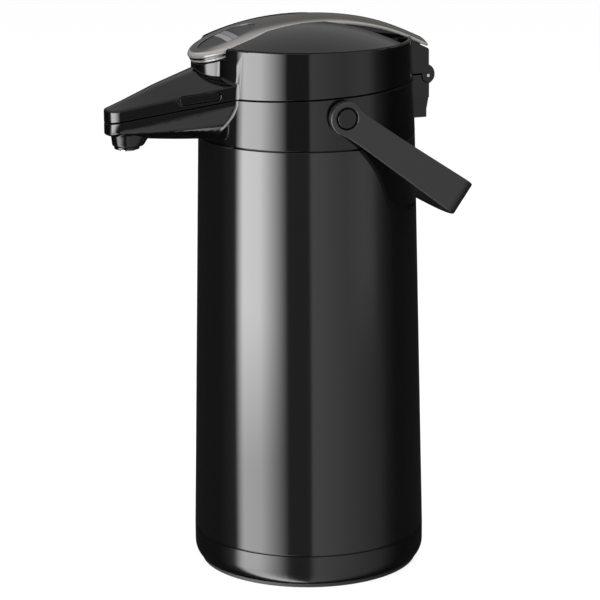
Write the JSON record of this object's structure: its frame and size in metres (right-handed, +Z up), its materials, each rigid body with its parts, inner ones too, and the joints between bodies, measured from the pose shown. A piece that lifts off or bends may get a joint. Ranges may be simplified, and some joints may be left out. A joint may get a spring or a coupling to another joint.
{
  "type": "airpot",
  "caption": "Pump flask with a lacquered steel body, hinged lid with spout half and pump lever, carrying handle and release buttons.",
  "frame": {"origin": "centre of the underside, on the ground", "axes": "+Z up along the pot's axis, -Y towards the spout, +Y towards the lid hinge"},
  "size_m": [0.16, 0.2429, 0.3774],
  "materials": {
    "body_lacquer": "gloss lacquer, anthracite",
    "base_gloss": "soft gloss",
    "black_gloss": "gloss",
    "handle_matte": "fine matt",
    "lever_silver": "metallic paint, satin",
    "inlay_black": "satin",
    "window_grey": "pale grey insert, plain",
    "foot_rubber": "matt",
    "seal_rubber": "pale silicone",
    "inner_plastic": "satin",
    "flask_steel": "brushed",
    "steel": "bright"
  },
  "bodies": {
    "pot": {"foot_ring": "foot_rubber", "base_ring": "base_gloss", "base_cap": "inner_plastic", "base_screws": "steel", "outer_shell": "body_lacquer", "flask_outer": "flask_steel", "flask_inner": "flask_steel", "flask_cushion": "foot_rubber", "neck_funnel": "inner_plastic", "neck_gasket": "seal_rubber", "collar": "black_gloss", "riser_tube": "inner_plastic", "spout_pipe": "inner_plastic", "nozzle": "black_gloss", "nozzle_insert": "steel", "hinge_pin": "steel", "handle_pins": "black_gloss"},
    "lid": {"lid_ring": "black_gloss", "lid_dome": "black_gloss", "lid_base": "inner_plastic", "lid_gasket": "seal_rubber", "pump_bellows": "inner_plastic", "pump_spring": "steel", "lever_pin": "steel"},
    "pump": {"pump_plate": "inner_plastic"},
    "lever": {"lever_cover": "lever_silver", "lever_core": "black_gloss", "lever_band": "lever_silver", "lever_inlay": "inlay_black", "inlay_window": "window_grey"},
    "carrying_handle": {"handle": "handle_matte"},
    "right_button": {"button_right": "black_gloss"},
    "left_button": {"button_left": "black_gloss"}
  },
  "joints": [
    {"name": "lid_hinge", "type": "hinge", "parent": "pot", "child": "lid", "pos_m": [0, 0.081, 0.334], "axis": [-1, 0, 0], "range_deg": [0, 95]},
    {"name": "lever_hinge", "type": "hinge", "parent": "lid", "child": "lever", "pos_m": [0, 0.074, 0.3495], "axis": [-1, 0, 0], "range_deg": [0, 11]},
    {"name": "pump_slide", "type": "slide", "parent": "lid", "child": "pump", "axis": [0, 0, 1], "range_m": [0, 0.0135], "deforming": ["pump_bellows", "pump_spring"]},
    {"name": "handle_hinge", "type": "hinge", "parent": "pot", "child": "carrying_handle", "pos_m": [0, 0, 0.3196], "axis": [1, 0, 0], "range_deg": [0, 130]},
    {"name": "button_right_slide", "type": "slide", "parent": "lid", "child": "right_button", "axis": [-0.9421, 0.3355, 0], "range_m": [0, 0.0025], "stiffness_N_per_m": 400, "springref_m": -0.001},
    {"name": "button_left_slide", "type": "slide", "parent": "lid", "child": "left_button", "axis": [0.9421, 0.3355, 0], "range_m": [0, 0.0025], "stiffness_N_per_m": 400, "springref_m": -0.001}
  ],
  "couplings": [
    {"joint": "pump_slide", "follows": "lever_hinge", "m_per_rad": 0.07}
  ]
}
